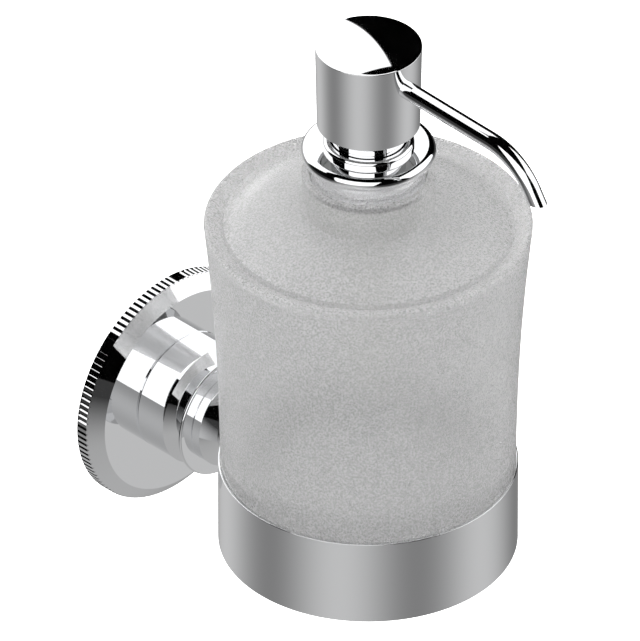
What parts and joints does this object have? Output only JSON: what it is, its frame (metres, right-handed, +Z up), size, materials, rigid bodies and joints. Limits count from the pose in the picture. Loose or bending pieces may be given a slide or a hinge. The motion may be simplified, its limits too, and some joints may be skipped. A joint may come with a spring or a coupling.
{
  "type": "wall mounted soap dispenser",
  "caption": "Wall mounted soap dispenser: flared frosted bottle standing in a polished ring on a turned post with a coin-edge rosette, and a press-down pump head with a bent spout.",
  "frame": {"origin": "centre of the wall plate's back face, on the wall and on the post's axis", "axes": "+Z up, -Y straight away from the wall, +X to the right of someone facing the dispenser"},
  "size_m": [0.087, 0.1421, 0.1802],
  "materials": {
    "chrome": "polished",
    "steel": "plain machined",
    "frosted_glass": "acid frosted",
    "white_plastic": "moulded",
    "clear_plastic": "extruded tube",
    "soft_rubber": "moulded"
  },
  "bodies": {
    "wall_holder": {"wall_plate": "steel", "rosette": "chrome", "post_base": "chrome", "grub_screw": "steel", "post_disc": "chrome", "post_front": "chrome", "post_stud": "steel", "holder_ring": "chrome", "ring_pad": "soft_rubber"},
    "bottle": {"glass_bottle": "frosted_glass", "neck_bush": "white_plastic"},
    "pump": {"collar": "chrome", "neck_gasket": "soft_rubber", "pump_barrel": "white_plastic", "guide_bush": "white_plastic", "ball_cage": "white_plastic", "dip_tube": "clear_plastic", "return_spring": "steel"},
    "inlet_valve": {"inlet_ball": "steel"},
    "plunger": {"piston_stem": "white_plastic", "piston": "soft_rubber"},
    "outlet_valve": {"outlet_ball": "steel"},
    "head": {"stem_sleeve": "chrome", "spout": "chrome", "head_core": "white_plastic", "head_cap": "chrome"}
  },
  "joints": [
    {"name": "bottle_lift", "type": "slide", "parent": "wall_holder", "child": "bottle", "axis": [0, 0, 1], "range_m": [0, 0.06]},
    {"name": "pump_lift", "type": "slide", "parent": "bottle", "child": "pump", "axis": [0, 0, 1], "range_m": [0, 0.108]},
    {"name": "head_press", "type": "slide", "parent": "pump", "child": "plunger", "axis": [0, 0, -1], "range_m": [0, 0.0065], "stiffness_N_per_m": 600, "springref_m": -0.008, "deforming": ["return_spring"]},
    {"name": "head_swivel", "type": "hinge", "parent": "plunger", "child": "head", "pos_m": [0, -0.0767, 0.1336], "axis": [0, 0, 1], "continuous": true},
    {"name": "inlet_ball_lift", "type": "slide", "parent": "pump", "child": "inlet_valve", "axis": [0, 0, 1], "range_m": [0, 0.0015]},
    {"name": "outlet_ball_lift", "type": "slide", "parent": "plunger", "child": "outlet_valve", "axis": [0, 0, 1], "range_m": [0, 0.0015]}
  ]
}
